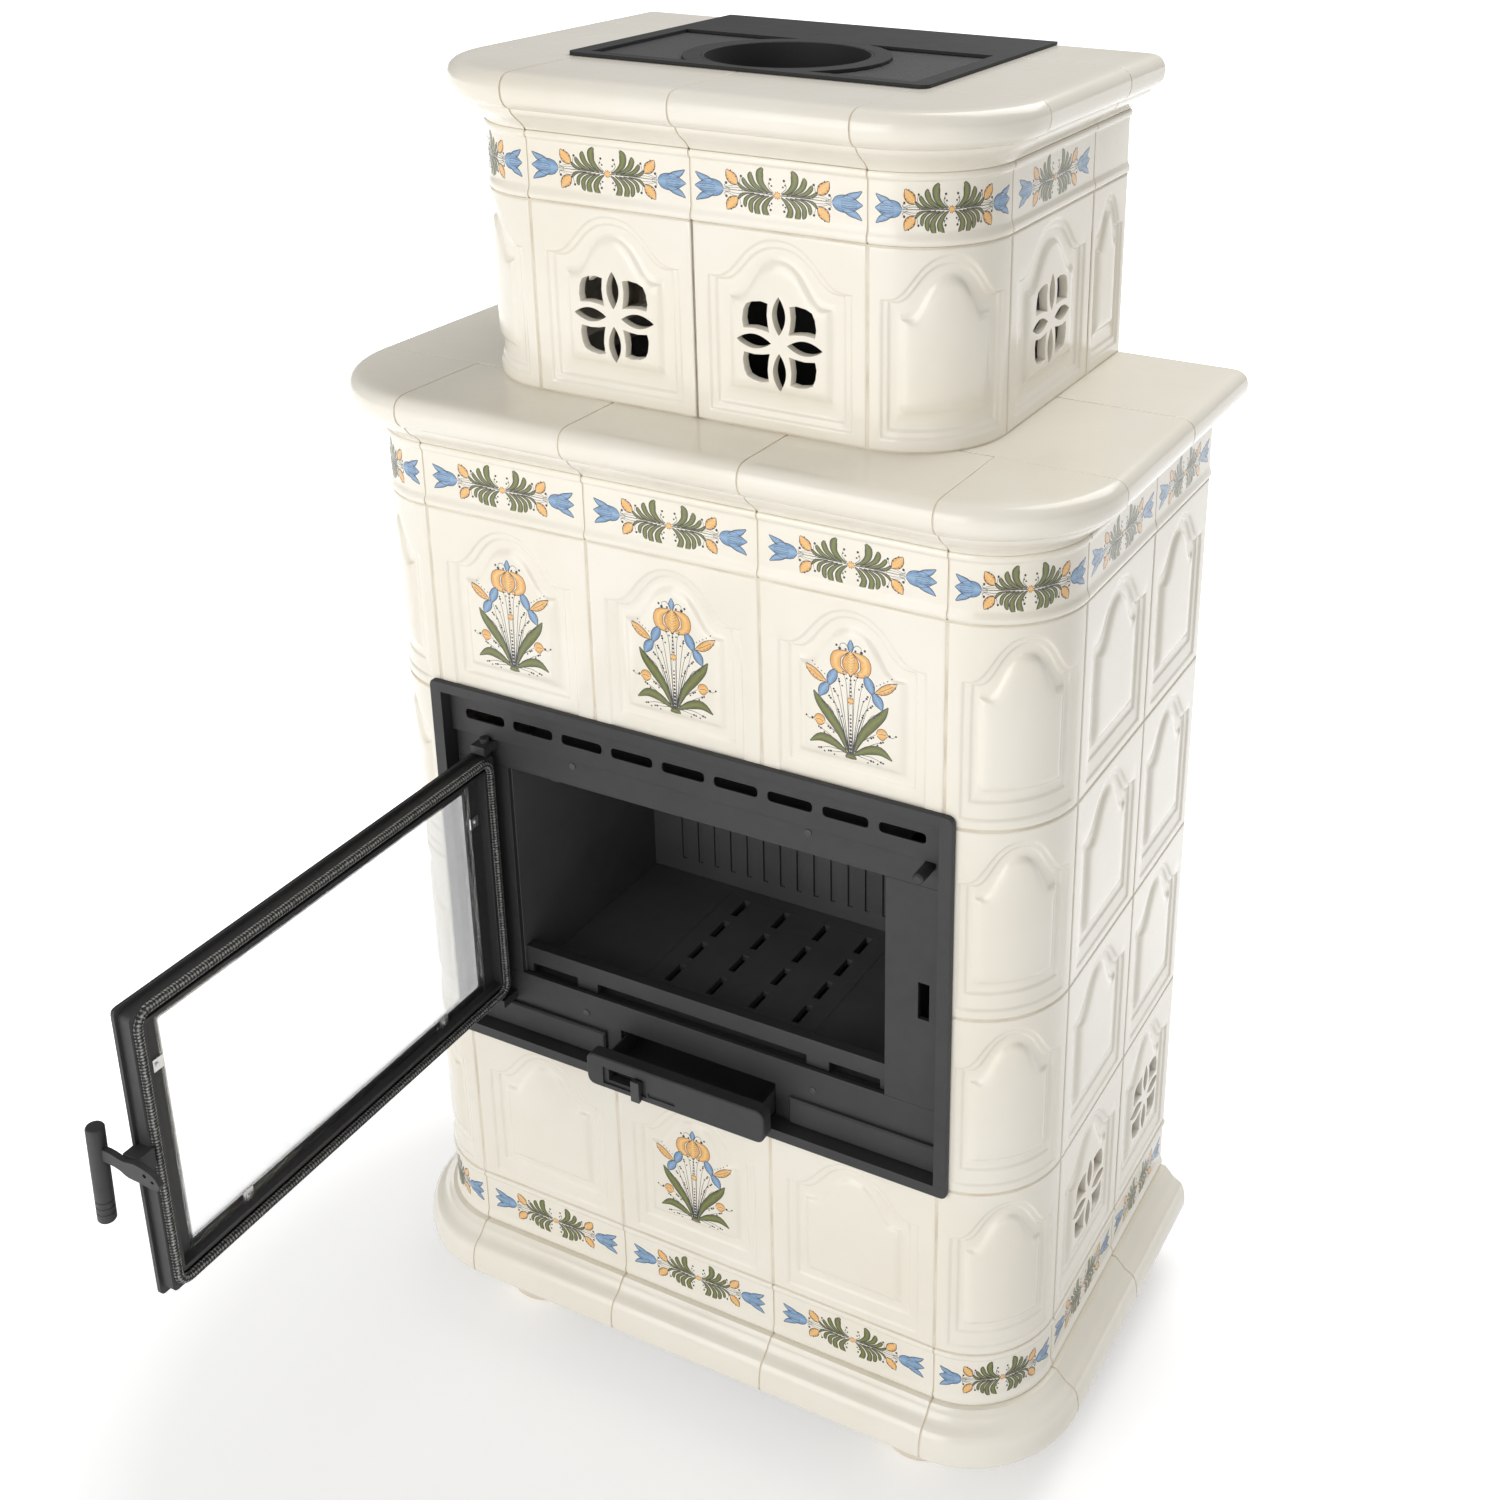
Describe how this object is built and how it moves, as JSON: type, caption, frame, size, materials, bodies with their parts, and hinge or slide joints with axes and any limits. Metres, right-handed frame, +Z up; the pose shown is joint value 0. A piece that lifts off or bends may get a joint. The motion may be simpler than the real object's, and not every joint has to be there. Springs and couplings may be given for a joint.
{
  "type": "tiled stove",
  "caption": "Two-tier stove of glazed relief tiles with painted friezes, pierced rosette tiles and an iron firebox insert with a glass door, ash drawer and air controls.",
  "frame": {"origin": "on the floor, at the middle of the footprint of the whole stove with its door open", "axes": "+Z up, -Y out of the front with the door and drawer, +X to the right as seen from the front"},
  "size_m": [0.8916, 1.0218, 1.5582],
  "materials": {
    "glaze": "glossy cream glaze",
    "foot_glaze": "satin",
    "cast_iron": "matt heat-proof paint",
    "dark_steel": "satin dark paint",
    "sheet_steel": "plain galvanised sheet",
    "door_glass": "clear glass ceramic",
    "gasket": "braided glass-fibre rope",
    "bright_steel": "bright zinc"
  },
  "bodies": {
    "body": {"foot_front_left": "foot_glaze", "foot_front_right": "foot_glaze", "foot_rear_left": "foot_glaze", "foot_rear_right": "foot_glaze", "plinth": "glaze", "base_frieze": "glaze", "row4_front_tiles": "glaze", "row1_front_tiles": "glaze", "corner_left": "glaze", "corner_right": "glaze", "side_wall_left": "glaze", "side_wall_right": "glaze", "side_rosette_left": "glaze", "side_rosette_right": "glaze", "top_frieze": "glaze", "lower_cornice_front": "glaze", "lower_cornice_left": "glaze", "lower_cornice_right": "glaze", "upper_rosette_front": "glaze", "upper_corner_left": "glaze", "upper_corner_right": "glaze", "upper_side_left": "glaze", "upper_side_right": "glaze", "upper_frieze": "glaze", "upper_cornice_front": "glaze", "upper_cornice_left": "glaze", "upper_cornice_right": "glaze", "top_plate": "cast_iron", "flue_pipe": "cast_iron", "insert_frame": "cast_iron", "seat_rail_upper": "cast_iron", "seat_rail_lower": "cast_iron", "seat_stile_left": "cast_iron", "seat_stile_right": "cast_iron", "fascia_plate": "cast_iron", "firebox_shell": "cast_iron", "smoke_baffle": "cast_iron", "firebox_floor": "cast_iron", "grate": "cast_iron", "log_guard": "cast_iron", "ash_housing": "cast_iron", "hinge_block_top": "cast_iron", "hinge_block_bottom": "cast_iron", "mesh_panel": "dark_steel", "base_plate": "sheet_steel", "back_panel": "sheet_steel"},
    "valve_rod": {"pull_rod": "cast_iron"},
    "drawer": {"drawer_front": "cast_iron", "ash_tray": "dark_steel"},
    "air_shutter": {"air_slider": "dark_steel"},
    "door": {"door_frame": "cast_iron", "door_glass": "door_glass", "glass_gasket": "gasket", "door_gasket": "gasket", "glass_clip_left": "bright_steel", "glass_clip_right": "bright_steel", "glass_clip_low_left": "bright_steel", "glass_clip_low_right": "bright_steel"},
    "handle": {"handle_lever": "cast_iron", "handle_grip": "cast_iron"}
  },
  "joints": [
    {"name": "door_hinge", "type": "hinge", "parent": "body", "child": "door", "pos_m": [-0.258, 0.03908, 0.6425], "axis": [0, 0, -1], "range_deg": [-89, 25]},
    {"name": "handle_turn", "type": "hinge", "parent": "door", "child": "handle", "pos_m": [-0.253, 0.03917, 0.647], "axis": [0.0174, -0.9998, 0], "range_deg": [-18, 6]},
    {"name": "ash_drawer_slide", "type": "slide", "parent": "body", "child": "drawer", "axis": [0, -1, 0], "range_m": [-0.032, 0.18]},
    {"name": "air_slide", "type": "slide", "parent": "drawer", "child": "air_shutter", "axis": [-1, 0, 0], "range_m": [0, 0.032]},
    {"name": "pull_rod_slide", "type": "slide", "parent": "body", "child": "valve_rod", "axis": [0, -1, 0], "range_m": [-0.02, 0.06]}
  ]
}
